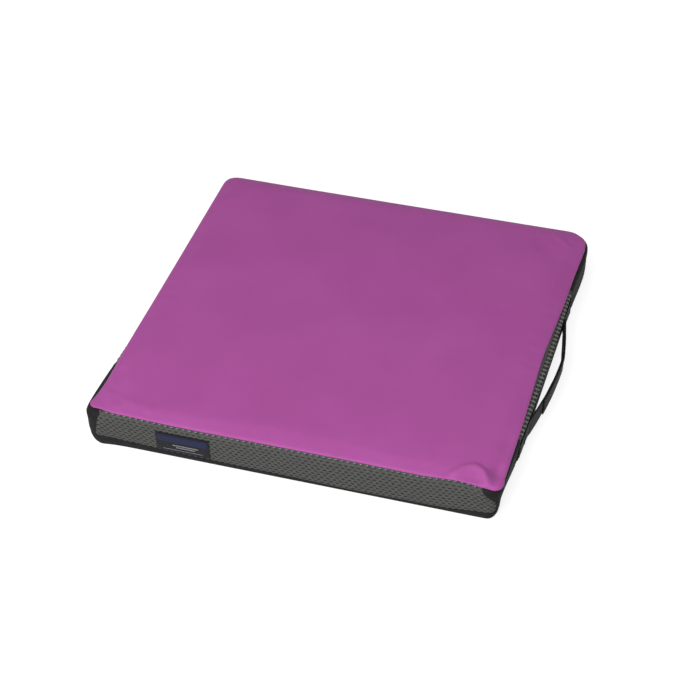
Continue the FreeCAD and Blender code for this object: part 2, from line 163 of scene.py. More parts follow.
top_seam_stations = sorted(
    [
        (0.060, 42.0 * MM),
        (0.130, 41.4 * MM),
        (0.172, 43.6 * MM),
        (front_right_start + 6 * MM, 40.0 * MM),
        (at_right(-0.190), 40.6 * MM),
        (at_right(-0.120), 42.2 * MM),
        (at_right(0.060), 41.6 * MM),
        (at_right(0.180), 43.0 * MM),
        (at_rear(0.100), 42.4 * MM),
        (at_rear(-0.110), 41.8 * MM),
        (at_left(0.190), 42.6 * MM),
        (at_left(0.0), 41.8 * MM),
        (at_left(-0.170), 43.0 * MM),
        (ROUND - 0.206, 45.0 * MM),
        (ROUND - 0.180, 43.2 * MM),
        (ROUND - 0.110, 41.6 * MM),
    ]
)
base_seam_stations = sorted(
    [
        (0.060, 4.6 * MM),
        (0.140, 5.6 * MM),
        (0.200, 11.5 * MM),
        (at_right(-0.180), 9.5 * MM),
        (at_right(-0.080), 7.0 * MM),
        (at_right(0.090), 7.6 * MM),
        (at_rear(0.200), 9.0 * MM),
        (at_rear(0.0), 7.2 * MM),
        (at_rear(-0.200), 8.6 * MM),
        (at_left(0.0), 7.2 * MM),
        (at_left(-0.190), 12.0 * MM),
        (ROUND - 0.204, 15.0 * MM),
        (ROUND - 0.170, 12.0 * MM),
        (ROUND - 0.120, 9.2 * MM),
        (ROUND - 0.040, 7.8 * MM),
    ]
)


def top_seam(along):
    return eased(along, top_seam_stations)


def base_seam(along):
    return eased(along, base_seam_stations)


belly_heights = np.array([0, 1, 3, 7, 14, 22, 30, 35, 38, 41, 46]) * MM
belly_outs = np.array([-1.2, -0.3, 0.5, 1.2, 1.7, 2.0, 2.1, 1.8, 0.9, -0.7, -3]) * MM


def near(along, middle, before, after):
    """One at a place round the outline, fading to nothing over a reach before it and a reach after it."""
    gap = np.mod(along - middle + ROUND / 2, ROUND) - ROUND / 2
    return np.exp(-((gap / np.where(gap < 0, before, after)) ** 2))


def swell(along, height):
    """How much fuller or slacker the side is than an even one, place by place."""
    low = 1 - np.clip(height / (42 * MM), 0, 1) ** 2
    shoulder = np.clip((height - 34 * MM) / (12 * MM), 0, 1)
    shoulder = 1 - 0.75 * shoulder * shoulder * (3 - 2 * shoulder)
    side = outline(along)[1][:, 0] ** 2
    out = 5.6 * MM * near(along, at_left(-0.190), 85 * MM, 26 * MM) * shoulder
    out -= 4.8 * MM * near(along, at_right(-0.192), 14 * MM, 58 * MM) * low
    out -= 2.5 * MM * near(along, rear_right_start + 11 * MM, 11 * MM, 11 * MM)
    out -= 3.0 * MM * side * np.clip(1 - height / (9 * MM), 0, 1) ** 2
    out += 1.0 * MM * side * np.exp(-(((height - 36 * MM) / (5 * MM)) ** 2))
    upper = np.exp(-(((height - 33 * MM) / (9 * MM)) ** 2))
    out += 2.3 * MM * near(along, at_right(-0.005), 80 * MM, 75 * MM) * upper
    return out + 2.2 * MM * near(along, at_right(0.172), 40 * MM, 24 * MM)


def belly(along, height):
    """How far the side stands out at a height: it rounds under at the base and leans in at the top seam."""
    out = np.interp(height, belly_heights, belly_outs)
    at_zip = near(along, at_rear(0), 165 * MM, 165 * MM)
    return np.where(out > 0, out * (1 - 0.8 * at_zip), out) + swell(along, height)


def tuck(distance, depth, reach):
    """The dip where a cloth turns in to a seam."""
    return -depth * np.exp(-((distance / reach) ** 2))


def cover_side(along, height, proud=0.0):
    """Points on the upright side of the cover, at a height, standing proud of the cloth's face."""
    place, outward = outline(along)
    out = belly(along, height) + proud
    out = out + tuck(height - top_seam(along), 1.6 * MM, 1.6 * MM)
    out = out + tuck(height - base_seam(along), 0.6 * MM, 1.0 * MM)
    flat = place + outward * out[:, None]
    return np.column_stack([flat, height])


def deselect():
    if bpy.context.mode != "OBJECT":
        bpy.ops.object.mode_set(mode="OBJECT")
    bpy.ops.object.select_all(action="DESELECT")


def pick(piece):
    """Make a piece the only one that is selected."""
    deselect()
    piece.select_set(True)
    bpy.context.view_layer.objects.active = piece


def newest(name):
    """The piece that was added last, under its name."""
    piece = bpy.context.object
    piece.name = piece.data.name = name
    return piece


def apply_only(*kinds):
    """Apply the location, rotation or scale that was set on the newest piece."""
    bpy.ops.object.transform_apply(**{kind: kind in kinds for kind in ("location", "rotation", "scale")})


def cut_cloth(name, width, depth, square):
    """A flat rectangle of cloth about the origin, in small squares, with its flat place as its UV map."""
    deselect()
    columns = max(1, round(width / square))
    rows = max(1, round(depth / square))
    bpy.ops.mesh.primitive_grid_add(x_subdivisions=columns, y_subdivisions=rows, size=1)
    piece = newest(name)
    piece.scale = (width, depth, 1)
    apply_only("scale")
    keep_flat_place(piece)
    return piece


def points_of(piece):
    points = np.empty(len(piece.data.vertices) * 3)
    piece.data.vertices.foreach_get("co", points)
    return points.reshape(-1, 3)


def move_points(piece, points):
    piece.data.vertices.foreach_set("co", np.ascontiguousarray(points, dtype=np.float32).ravel())
    piece.data.update()


def keep_flat_place(piece):
    """Store each corner's flat place, in metres, as the UV map that the weave follows."""
    mesh = piece.data
    while mesh.uv_layers:
        mesh.uv_layers.remove(mesh.uv_layers[0])
    layer = mesh.uv_layers.new(name="cloth")
    corners = np.empty(len(mesh.loops), dtype=np.int32)
    mesh.loops.foreach_get("vertex_index", corners)
    layer.data.foreach_set("uv", points_of(piece)[corners, :2].astype(np.float32).ravel())


def keep_upright_place(piece):
    """The same for a piece that stands against a wall: across it and up it, in metres."""
    keep_flat_place(piece)
    corners = np.empty(len(piece.data.loops), dtype=np.int32)
    piece.data.loops.foreach_get("vertex_index", corners)
    upright = points_of(piece)[corners][:, [0, 2]].astype(np.float32)
    piece.data.uv_layers["cloth"].data.foreach_set("uv", upright.ravel())


def finish_with(piece, kind, **settings):
    """Add a modifier and apply it."""
    pick(piece)
    modifier = piece.modifiers.new(kind.title(), kind)
    for name, value in settings.items():
        setattr(modifier, name, value)
    bpy.ops.object.modifier_apply(modifier=modifier.name)


def dress(piece, material, angle=60, body="cushion"):
    """Smooth a finished piece, give it its material, and fix it to its body."""
    pick(piece)
    bpy.ops.object.shade_smooth_by_angle(angle=math.radians(angle))
    piece.data.materials.append(material)
    if body:
        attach(piece, body)


def ring_places(flat, half_cut):
    """Where points of a square cut fall on the cover: how far in from its edge, and how far round it."""
    x, y = flat[:, 0], flat[:, 1]
    ring = np.maximum(np.maximum(np.abs(x), np.abs(y)), 1e-9)
    middles = [
        front_left_start + corner_radii[3] * math.pi / 4 - ROUND,
        front_right_start + corner_radii[0] * math.pi / 4,
        rear_right_start + corner_radii[1] * math.pi / 4,
        rear_left_start + corner_radii[2] * math.pi / 4,
        front_left_start + corner_radii[3] * math.pi / 4,
    ]
    on_front = (y <= -np.abs(x)) | (ring < 1e-8)
    on_right = (x >= np.abs(y)) & ~on_front
    on_rear = (y >= np.abs(x)) & ~on_front & ~on_right
    share = np.where(on_front, x, np.where(on_right, y, np.where(on_rear, -x, -y))) / ring
    side = np.where(on_front, 0, np.where(on_right, 1, np.where(on_rear, 2, 3)))
    start = np.array(middles)[side]
    end = np.array(middles)[side + 1]
    return half_cut - ring, start + (share + 1) / 2 * (end - start)


def inset_places(along, out):
    """Places at a distance out from the outline; inside a narrow rim the outline shrinks evenly."""
    place, outward = outline(along)
    rim = 6 * MM
    in_rim = np.maximum(out, -rim)
    shrink = 1 + np.minimum(out + rim, 0) / (half_side - rim)
    return (place + outward * in_rim[:, None]) * shrink[:, None]


roll_run = 11 * MM
roll_length = 13 * MM
top_cut = half_side - roll_run + roll_length
creased_corner = (0.2035, -0.187)
fold_line = [
    (0.163, -0.203),
    (0.172, -0.192),
    (0.182, -0.188),
    (0.190, -0.193),
    (0.196, -0.202),
    (0.199, -0.210),
]


def bump(x, y, centre, reach):
    """A soft round swelling of height one at a place."""
    return np.exp(-(((x - centre[0]) / reach[0]) ** 2 + ((y - centre[1]) / reach[1]) ** 2))


def distance_to(x, y, start, end):
    """How far points are from a straight line between two places."""
    run = np.array(end) - np.array(start)
    length = np.hypot(*run)
    along = ((x - start[0]) * run[0] + (y - start[1]) * run[1]) / length
    across = ((x - start[0]) * run[1] - (y - start[1]) * run[0]) / length
    return np.hypot(across, along - np.clip(along, 0, length))


def fold(x, y, start, end, width):
    """A soft fold of height one between two places, fading away from them."""
    return np.exp(-((distance_to(x, y, start, end) / width) ** 2))


def folds(x, y):
    """The puckers that the sewn corners pull into the top, as a change of height."""
    crest = np.zeros(len(x))
    for start, end in zip(fold_line[:-1], fold_line[1:]):
        crest = np.maximum(crest, 1 - distance_to(x, y, start, end) / (6 * MM))
    lift = 3.0 * MM * crest
    lift -= 1.3 * MM * bump(x, y, (0.182, -0.204), (12 * MM, 5 * MM))
    lift -= 4.0 * MM * bump(x, y, creased_corner, (7 * MM, 12 * MM))
    lift -= 1.2 * MM * bump(x, y, (0.203, -0.150), (7 * MM, 20 * MM))
    lift += 0.7 * MM * fold(x, y, (-0.200, -0.183), (-0.150, -0.198), 5 * MM)
    lift -= 0.9 * MM * fold(x, y, (-0.200, -0.150), (-0.186, -0.188), 6 * MM)
    lift += 0.9 * MM * fold(x, y, (0.176, 0.196), (0.196, 0.176), 4 * MM)
    lift -= 0.8 * MM * fold(x, y, (0.160, 0.180), (0.186, 0.150), 9 * MM)
    lift += 0.6 * MM * fold(x, y, (-0.200, 0.150), (-0.172, 0.190), 7 * MM)
    return lift


def lay_top(flat):
    """Carry the flat cut over the foam: up from the seam, round the upper edge and across the crowned top."""
    inwards, along = ring_places(flat, top_cut)
    turn = np.clip(inwards / roll_length, 0, 1) * math.pi / 2
    seam = top_seam(along)
    rise = cover_height - 1.0 * MM - seam
    _, outward = outline(along)
    full = 0.4 * MM + np.where(outward[:, 0] > 0, 2.4 * MM, 2.9 * MM) * outward[:, 0] ** 2
    full = full - 3.2 * MM * near(along, at_right(-0.010), 75 * MM, 75 * MM)
    full = full - 1.6 * MM * near(along, at_left(-0.160), 40 * MM, 26 * MM)
    full = full + 2.5 * MM * near(along, front_right_start + 12 * MM, 9 * MM, 8 * MM)
    full = full + 3.0 * MM * near(along, at_left(-0.204), 9 * MM, 6 * MM)
    full = full - 1.5 * MM * near(along, ROUND - 0.203, 9 * MM, 12 * MM)
    full = full - 5.0 * MM * near(along, rear_right_start + 11 * MM, 10 * MM, 10 * MM)
    full = full + 1.4 * MM * near(along, at_right(0.176), 30 * MM, 16 * MM)
    out = full * np.cos(turn) - roll_run * (1 - np.cos(turn)) - np.maximum(inwards - roll_length, 0)
    out = out + tuck(inwards, 1.8 * MM, 1.3 * MM)
    place = inset_places(along, out)
    x, y = place[:, 0], place[:, 1]
    crown = 0.9 * MM * (1 - (x / half_side) ** 2) * (1 - (y / half_side) ** 2)
    waves = 0.18 * MM * (np.sin(x * 31 + 1.3) * np.sin(y * 27 + 0.4) + np.sin(x * 17 - y * 43))
    slope = 0.5 * np.sin(turn) + 0.5 * np.clip(inwards / roll_length, 0, 1)
    height = seam + rise * slope + (crown + waves) * np.sin(turn) ** 2
    height = height - 0.5 * MM * np.exp(-((inwards / (1.5 * MM)) ** 2))
    return np.column_stack([place, height])


def settle(piece, held, cap):
    """Puff the cloth up a little, as the foam does: its held edge stays put and no point moves past a cap."""
    start = points_of(piece)
    group = piece.vertex_groups.new(name="held")
    group.add(np.flatnonzero(held).tolist(), 1.0, "REPLACE")
    pick(piece)
    cloth = piece.modifiers.new("Cloth", "CLOTH")
    cloth.settings.quality = 5
    cloth.settings.mass = 0.2
    cloth.settings.tension_stiffness = 12
    cloth.settings.compression_stiffness = 6
    cloth.settings.bending_stiffness = 0.3
    cloth.settings.vertex_group_mass = "held"
    cloth.settings.shrink_min = -0.004
    cloth.settings.use_pressure = True
    cloth.settings.uniform_pressure_force = 4
    cloth.settings.effector_weights.gravity = 0
    frames = 18
    for moment in range(1, frames + 1):
        bpy.context.scene.frame_set(moment)
    bpy.ops.object.modifier_apply(modifier=cloth.name)
    bpy.context.scene.frame_set(1)
    piece.vertex_groups.clear()
    moved = points_of(piece) - start
    distance = np.maximum(np.linalg.norm(moved, axis=1), 1e-9)
    move_points(piece, start + moved * np.minimum(1, cap / distance)[:, None])


top = cut_cloth("top_cover", 2 * top_cut, 2 * top_cut, 4.2 * MM)
inwards_from_seam = top_cut - np.abs(points_of(top)[:, :2]).max(1)
move_points(top, lay_top(points_of(top)))
settle(top, held=inwards_from_seam < 5 * MM, cap=1.6 * MM)
finish_with(top, "SUBSURF", levels=1, render_levels=1)
creased = points_of(top)
within = half_side - np.abs(creased[:, :2]).max(1)
creased[:, 2] += folds(creased[:, 0], creased[:, 1]) * np.clip((within + 1 * MM) / (7 * MM), 0, 1)
move_points(top, creased)
finish_with(top, "SOLIDIFY", thickness=1.1 * MM, offset=-1)


def new_look(name, colour, roughness):
    """A material whose base colour is set on its shader, bundled with its nodes, links and shader."""
    material = bpy.data.materials.new(name)
    material.use_nodes = True
    nodes = material.node_tree.nodes
    shader = nodes["Principled BSDF"]
    shader.inputs["Base Color"].default_value = (*colour, 1)
    shader.inputs["Roughness"].default_value = roughness
    return SimpleNamespace(material=material, nodes=nodes, links=material.node_tree.links, shader=shader)


def flat_place(look):
    """The cloth's own flat place, in metres."""
    place = look.nodes.new("ShaderNodeUVMap")
    place.uv_map = "cloth"
    return place.outputs["UV"]


def object_place(look):
    """The place in the piece's own space, in metres, for solid pieces that have no flat cut."""
    return look.nodes.new("ShaderNodeTexCoord").outputs["Object"]


def mottle(look, source, scale, detail=3.0):
    """Soft uneven noise from 0 to 1."""
    noise = look.nodes.new("ShaderNodeTexNoise")
    noise.inputs["Scale"].default_value = scale
    noise.inputs["Detail"].default_value = detail
    look.links.new(source, noise.inputs["Vector"])
    return noise.outputs["Fac"]


def tint(look, amount, colours, low=0.3, high=0.7):
    """Colour the shader between two colours by an amount."""
    ramp = look.nodes.new("ShaderNodeValToRGB")
    for element, colour, position in zip(ramp.color_ramp.elements, colours, (low, high)):
        element.position = position
        element.color = (*colour, 1)
    look.links.new(amount, ramp.inputs["Fac"])
    look.links.new(ramp.outputs["Color"], look.shader.inputs["Base Color"])


def calculate(look, operation, *values):
    """A sum on numbers and other nodes' outputs."""
    node = look.nodes.new("ShaderNodeMath")
    node.operation = operation
    for k, value in enumerate(values):
        if isinstance(value, (int, float)):
            node.inputs[k].default_value = value
        else:
            look.links.new(value, node.inputs[k])
    return node.outputs["Value"]


def ribs(look, source, axis, pitch):
    """A wave from 0 to 1 across the cloth, one for every pitch along an axis of the source."""
    split = look.nodes.new("ShaderNodeSeparateXYZ")
    look.links.new(source, split.inputs["Vector"])
    turns = calculate(look, "MULTIPLY", split.outputs[axis], 2 * math.pi / pitch)
    wave = calculate(look, "SINE", turns)
    return calculate(look, "MULTIPLY_ADD", wave, 0.5, 0.5)


def crossed_ribs(look, place, across, along):
    """Ribs both ways, multiplied into a grid of small raised dots; each way has its own pitch."""
    rows = ribs(look, place, "X", across)
    courses = ribs(look, place, "Y", along)
    return calculate(look, "MULTIPLY", rows, courses)


def emboss(look, height, distance, strength, under=None):
    """Raise the surface by a pattern; returns the bump's normal for another to stand on."""
    relief = look.nodes.new("ShaderNodeBump")
    relief.inputs["Distance"].default_value = distance
    relief.inputs["Strength"].default_value = strength
    look.links.new(height, relief.inputs["Height"])
    if under is not None:
        look.links.new(under, relief.inputs["Normal"])
    look.links.new(relief.outputs["Normal"], look.shader.inputs["Normal"])
    return relief.outputs["Normal"]


def set_shader(look, **values):
    """Set the shader's plain values, such as its specular level, sheen or coat."""
    for name, value in values.items():
        look.shader.inputs[name.replace("_", " ")].default_value = value


def purple_stretch():
    """Matt coated stretch knit: fine ribs both ways, a faint bloom and slightly uneven dye."""
    look = new_look("purple stretch knit", (0.36, 0.07, 0.29), 0.62)
    place = flat_place(look)
    dye = mottle(look, place, 14.0)
    tint(look, dye, [(0.345, 0.064, 0.277), (0.372, 0.073, 0.302)])
    soft = emboss(look, mottle(look, place, 90.0, 5.0), 0.5 * MM, 0.25)
    knit = crossed_ribs(look, place, 0.7 * MM, 0.55 * MM)
    emboss(look, knit, 0.06 * MM, 0.6, soft)
    set_shader(look, Sheen_Weight=0.06, Sheen_Roughness=0.5, Specular_IOR_Level=0.25)
    return look.material


dress(top, purple_stretch())
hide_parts("top_panel")

# ---- Mesh border panels --------------------------------------------------------------------------
# Grey spacer fabric on the front and both sides: an open knitted net on the face, a closed cloth behind it.
# Each panel is sewn to the top above, to the base below and to the black corners at its ends.
mesh_pitch = 6.3 * MM
mesh_row = 4.1 * MM
net_strand = 1.45 * MM
net_depth = 0.9 * MM


def panel_ends(side, share):
    """Where a mesh panel starts and ends; share runs from its lower seam to its upper one."""
    if side == "front":
        start = -0.2035 + 4.5 * MM * share
        end = 0.2010 + 9 * MM * np.sin(math.pi * np.clip(share * 0.95 + 0.18, 0, 1)) - 8 * MM * share
        return start, end
    reach = [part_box(f"{side}_mesh_panel")[k].y for k in (0, 1)]
    if side == "right":
        return at_right(reach[0]) - 9 * MM * (1 - share), at_right(reach[1]) + 9 * MM - 10 * MM * share
    return at_left(reach[1]) - 6 * MM * (1 - share), at_left(reach[0]) + 8 * MM * (1 - share)


def repeat(piece, count, step):
    """Repeat a piece in a line and weld the repeats where they meet."""
    finish_with(
        piece,
        "ARRAY",
        count=count,
        use_relative_offset=False,
        use_constant_offset=True,
        constant_offset_displace=step,
        use_merge_vertices=True,
        merge_threshold=0.05 * MM,
    )


def to_middle(piece):
    """Move a flat piece's middle to the origin."""
    points = points_of(piece)
    points[:, :2] -= (points[:, :2].min(0) + points[:, :2].max(0)) / 2
    move_points(piece, points)


def knit_net(name, width, height):
    """One flattened hexagon for each opening of the knit, in staggered rows, opened into rounded strands."""
    deselect()
    bpy.ops.mesh.primitive_circle_add(vertices=6, radius=1, fill_type="NGON")
    net = newest(name)
    net.scale = (mesh_pitch / 2 / math.cos(math.pi / 6), mesh_row * 2 / 3, 1)
    apply_only("scale")
    bpy.ops.object.mode_set(mode="EDIT")
    bpy.ops.mesh.select_all(action="SELECT")
    bpy.ops.mesh.duplicate()
    bpy.ops.transform.translate(value=(mesh_pitch / 2, mesh_row, 0))
    bpy.ops.mesh.select_all(action="SELECT")
    bpy.ops.mesh.remove_doubles(threshold=0.05 * MM)
    bpy.ops.object.mode_set(mode="OBJECT")
    repeat(net, math.ceil(width / mesh_pitch), (mesh_pitch, 0, 0))
    repeat(net, math.ceil(height / mesh_row / 2), (0, 2 * mesh_row, 0))
    to_middle(net)
    bpy.ops.object.mode_set(mode="EDIT")
    bpy.ops.mesh.select_all(action="SELECT")
    bpy.ops.mesh.normals_make_consistent(inside=False)
    bpy.ops.mesh.inset(thickness=net_strand, depth=-0.25 * MM, use_individual=True)
    bpy.ops.mesh.delete(type="FACE")
    bpy.ops.object.mode_set(mode="OBJECT")
    keep_flat_place(net)
    finish_with(net, "SOLIDIFY", thickness=net_depth, offset=-1)
    finish_with(net, "SUBSURF", levels=1, render_levels=1)
    return net


def grey_yarn(name, light, dark, depth):
    """Textured grey yarn: fine loops along the strands, slightly uneven."""
    look = new_look(name, light, 0.8)
    place = flat_place(look)
    tint(look, mottle(look, place, 260.0, 4.0), [dark, light])
    emboss(look, crossed_ribs(look, place, 0.9 * MM, 0.7 * MM), depth, 0.8)
    set_shader(look, Specular_IOR_Level=0.25)
    return look.material


net_yarn = grey_yarn("grey mesh yarn", (0.079, 0.08, 0.077), (0.056, 0.057, 0.054), 0.15 * MM)
back_yarn = grey_yarn("mesh backing yarn", (0.06, 0.06, 0.06), (0.042, 0.042, 0.042), 0.1 * MM)


def mesh_panel(side):
    """A net and its backing, cut a little too long, laid on the side and gathered in at the panel's ends."""
    middle = [np.mean(ends) for ends in zip(*(panel_ends(side, s) for s in (0.0, 0.5, 1.0)))]
    centre = (middle[0] + middle[1]) / 2
    long = middle[1] - middle[0]
    tall = 44 * MM
    net = knit_net(f"{side}_mesh_face", long + 26 * MM, tall)
    backing = cut_cloth(f"{side}_mesh_back", long + 20 * MM, tall, 4 * MM)
    for piece, behind, edge in ((net, 0.0, 3 * MM), (backing, 1.3 * MM, 2 * MM)):
        points = points_of(piece)
        along = centre + points[:, 0]
        share = np.clip((points[:, 1] + tall / 2) / tall, 0, 1)
        low, high = base_seam(along), top_seam(along)
        height = np.minimum(low - 1.0 * MM + share * (high - low + 1.6 * MM), cover_height - 2.6 * MM)
        start, end = panel_ends(side, np.clip((height - low) / (high - low), 0, 1))
        along = np.clip(along, start - edge, end + edge)
        move_points(piece, cover_side(along, height, points[:, 2] - behind))
    finish_with(backing, "SOLIDIFY", thickness=0.6 * MM, offset=-1)
    dress(net, net_yarn)
    dress(backing, back_yarn)
    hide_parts(f"{side}_mesh_panel")


for side in ("front", "right", "left"):
    mesh_panel(side)

# ---- Black border pieces -------------------------------------------------------------------------
# Plain woven polyester round each corner, lapped over the ends of the mesh panels, and the rear border.


def black_weave(name, colour=(0.0125, 0.012, 0.013)):
    """Matt black plain weave with slightly dusty high threads."""
    look = new_look(name, colour, 0.72)
    place = flat_place(look)
    lighter = [c * 1.5 for c in colour]
    tint(look, mottle(look, place, 120.0, 4.0), [colour, lighter])
    emboss(look, crossed_ribs(look, place, 0.8 * MM, 0.8 * MM), 0.12 * MM, 0.8)
    set_shader(look, Specular_IOR_Level=0.08)
    return look.material


black_cloth = black_weave("black polyester")
border_tall = 40 * MM


def border_piece(name, start, end, node, proud=0.5 * MM, low=None, high=None):
    """A strip of black cloth round the side; start and end are functions of the share of its height."""
    long = float(end(0.5) - start(0.5))
    strip = cut_cloth(name, long, border_tall, 1.6 * MM)
    points = points_of(strip)
    share = points[:, 1] / border_tall + 0.5
    across = points[:, 0] / long + 0.5
    along = start(share) * (1 - across) + end(share) * across
    bottom = base_seam(along) - 0.8 * MM if low is None else low(along)
    top_edge = np.minimum(top_seam(along), cover_height - 2.4 * MM) if high is None else high(along)
    height = bottom + share * (top_edge - bottom)
    edge = np.minimum(across, 1 - across) * long
    lap = proud * (1 - np.exp(-((edge / (0.9 * MM)) ** 2)))
    lap -= 0.5 * MM * np.clip(1 - (1 - share) * 12, 0, 1)
    move_points(strip, cover_side(along, height, lap))
    finish_with(strip, "SOLIDIFY", thickness=0.9 * MM, offset=-1)
    dress(strip, black_cloth, angle=50)
    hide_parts(node)


def mesh_edge(side, end, turn=0.0):
    """Follow the start (0) or the end (1) of a mesh panel."""
    return lambda share: panel_ends(side, share)[end] + turn


def upright(place):
    """Stay at one place round the outline, or at one height, all along an edge."""
    return lambda share: place + 0 * share


zip_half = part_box("rear_upper_border")[1].x
zip_start = upright(at_rear(zip_half))
zip_end = upright(at_rear(-zip_half))
slot_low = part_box("rear_lower_border")[1].z
slot_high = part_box("rear_upper_border")[0].z
border_piece("front_right_border", mesh_edge("front", 1), mesh_edge("right", 0), "front_right_corner")
border_piece("rear_right_border", mesh_edge("right", 1), zip_start, "rear_right_corner")
border_piece("rear_left_border", zip_end, mesh_edge("left", 0), "rear_left_corner")
border_piece("front_left_border", mesh_edge("left", 1), mesh_edge("front", 0, ROUND), "front_left_corner")
border_piece("zip_border_upper", zip_start, zip_end, "rear_upper_border", low=upright(slot_high))
border_piece("zip_border_lower", zip_start, zip_end, "rear_lower_border", high=upright(slot_low))

# ---- Base panel ----------------------------------------------------------------------------------
# Black polyester with small non-slip dots, turned up round the edge into a narrow band and sewn on there.
base_cut = half_side + 8 * MM
band_run = 13 * MM


def lay_base(flat):
    """Carry the flat cut down the band, round the lower edge and across the underside."""
    inwards, along = ring_places(flat, base_cut)
    seam = base_seam(along)
    drop = np.minimum(inwards / band_run, 1)
    height = seam * (1 - drop) ** 1.5 + 0.5 * MM
    out = belly(along, height - 0.5 * MM) + 0.2 * MM - np.maximum(inwards - band_run, 0)
    out = out + tuck(inwards, 1.2 * MM, 1.0 * MM)
    place = inset_places(along, out)
    return np.column_stack([place, height])


base = cut_cloth("base_cover", 2 * base_cut, 2 * base_cut, 3 * MM)
move_points(base, lay_base(points_of(base)))
pick(base)
bpy.ops.object.mode_set(mode="EDIT")
bpy.ops.mesh.select_all(action="SELECT")
bpy.ops.mesh.flip_normals()
bpy.ops.object.mode_set(mode="OBJECT")
finish_with(base, "SOLIDIFY", thickness=1.0 * MM, offset=-1)
dress(base, black_weave("base polyester", (0.0125, 0.0125, 0.0135)))
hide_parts("base_panel")

# Small rubber dots, printed in a square grid over the underside, grip the seat.
dot_pitch = 9 * MM
dots_a_side = 2 * int((half_side - 14 * MM) / dot_pitch) + 1
deselect()
bpy.ops.mesh.primitive_uv_sphere_add(segments=8, ring_count=6, radius=1.3 * MM)
dots = newest("grip_dots")
dots.scale = (1, 1, 0.42)
apply_only("scale")
repeat(dots, dots_a_side, (dot_pitch, 0, 0))
repeat(dots, dots_a_side, (0, dot_pitch, 0))
to_middle(dots)
dot_points = points_of(dots)
move_points(dots, dot_points + [0, 0, -dot_points[:, 2].min()])


def grip_rubber():
    """Soft black printed rubber with a fine grain."""
    look = new_look("grip rubber", (0.016, 0.016, 0.017), 0.5)
    place = object_place(look)
    grain = mottle(look, place, 900.0, 4.0)
    tint(look, grain, [(0.012, 0.012, 0.013), (0.022, 0.022, 0.023)])
    emboss(look, grain, 0.05 * MM, 0.5)
    return look.material


dress(dots, grip_rubber())

# ---- Sewing --------------------------------------------------------------------------------------
# Polyester thread: black everywhere; the pale grey rows where the mesh panels meet the top are painted
# highlight, standing in for the mesh's upper rows catching the light.


def thread(name, colour):
    """Twisted polyester thread: fine plies across it and a slight lustre."""
    look = new_look(name, colour, 0.55)
    place = flat_place(look)
    worn = [[c * 0.75 for c in colour], [c * 1.2 for c in colour]]
    tint(look, mottle(look, place, 700.0), worn)
    emboss(look, ribs(look, place, "X", 0.45 * MM), 0.08 * MM, 0.8)
    set_shader(look, Specular_IOR_Level=0.2)
    return look.material


# Pale grey thread, much lighter than the net: painted highlight for the lit upper rows of the mesh.
pale_highlight_thread = thread("pale thread for painted highlight", (0.2, 0.2, 0.195))
black_thread = thread("black thread", (0.014, 0.014, 0.015))


def stitch_row(name, count, pitch, long, thick, lay, material=black_thread, body="cushion", slant=0.0):
    """A row of stitches made flat along X and then laid on the surface that it sews."""
    deselect()
    bpy.ops.mesh.primitive_uv_sphere_add(segments=6, ring_count=5, radius=0.5)
    row = newest(name)
    row.rotation_euler = (0, math.pi / 2, 0)
    apply_only("rotation")
    row.scale = (long, thick, min(thick * 0.8, 1.0 * MM))
    apply_only("scale")
    row.rotation_euler = (0, 0, slant)
    apply_only("rotation")
    repeat(row, count, (pitch, 0, 0))
    to_middle(row)
    keep_flat_place(row)
    move_points(row, lay(points_of(row)))
    dress(row, material, body=body)
    return row


def under_seam(middle, below):
    """Lay a row of stitches along the upper seam, a little below it."""

    def lay(flat):
        along = middle + flat[:, 0]
        return cover_side(along, top_seam(along) - below + flat[:, 1], flat[:, 2] + 0.35 * MM)

    return lay


def beside_edge(edge, step):
    """Lay a row of stitches up the edge of a corner piece, a step to one side of it."""

    def lay(flat):
        share = np.clip(flat[:, 0] / (36 * MM) + 0.5, 0, 1)
        along = edge(share) + step + flat[:, 1]
        low, high = base_seam(along) + 1 * MM, top_seam(along) - 3 * MM
        return cover_side(along, low + share * (high - low), flat[:, 2] + 0.55 * MM)

    return lay


edge_stitch = {"count": 12, "pitch": 3 * MM, "long": 2.2 * MM, "thick": 0.55 * MM}
for side in ("front", "right", "left"):
    start, end = panel_ends(side, 1.0)
    count = int((end - start - 4 * MM) / mesh_pitch)
    # Painted highlight: the front row's pale dots light the mesh's top row, and the tall slanted pale bars on
    # the sides stand in for lit grey stripes on mesh that faces away from the lamps.
    long, tall, slant = (2.6 * MM, 0.7 * MM, 0.0) if side == "front" else (1.9 * MM, 7.0 * MM, 0.7)
    lay = under_seam((start + end) / 2, 1.2 * MM + tall * math.cos(slant) / 2)
    stitch_row(f"{side}_seam_highlight_stitches", count, mesh_pitch, long, tall, lay, pale_highlight_thread, slant=slant)
    stitch_row(f"{side}_start_stitches", lay=beside_edge(mesh_edge(side, 0), -1.8 * MM), **edge_stitch)
    stitch_row(f"{side}_end_stitches", lay=beside_edge(mesh_edge(side, 1), 1.8 * MM), **edge_stitch)

# ---- Label ---------------------------------------------------------------------------------------
# A woven satin label sewn flat to the front mesh along two edges. It has a blue band and three plain lines.
label_low, label_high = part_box("label")
label_middle = (label_low.x + label_high.x) / 2
label_centre = (label_low.z + label_high.z) / 2 + 0.6 * MM
label_width = label_high.x - label_low.x
label_tall = label_high.z - label_low.z


def on_label(across, up, proud):
    """Lay a flat piece on the label, which is drawn in a little at its two ends."""

    def lay(flat):
        from_middle = across + flat[:, 0]
        dip = 0.5 * MM * np.exp(-(((label_width / 2 - np.abs(from_middle)) / (1.2 * MM)) ** 2))
        height = label_centre + up + flat[:, 1]
        return cover_side(label_middle + from_middle, height, flat[:, 2] + proud - dip)

    return lay


def satin(name, colour):
    """Close satin weave: long shiny floats crossed by fine picks."""
    look = new_look(name, colour, 0.42)
    place = flat_place(look)
    shades = [[c * 0.8 for c in colour], [c * 1.2 for c in colour]]
    tint(look, mottle(look, place, 300.0), shades)
    emboss(look, crossed_ribs(look, place, 0.35 * MM, 0.5 * MM), 0.05 * MM, 0.8)
    set_shader(look, Specular_IOR_Level=0.15)
    return look.material


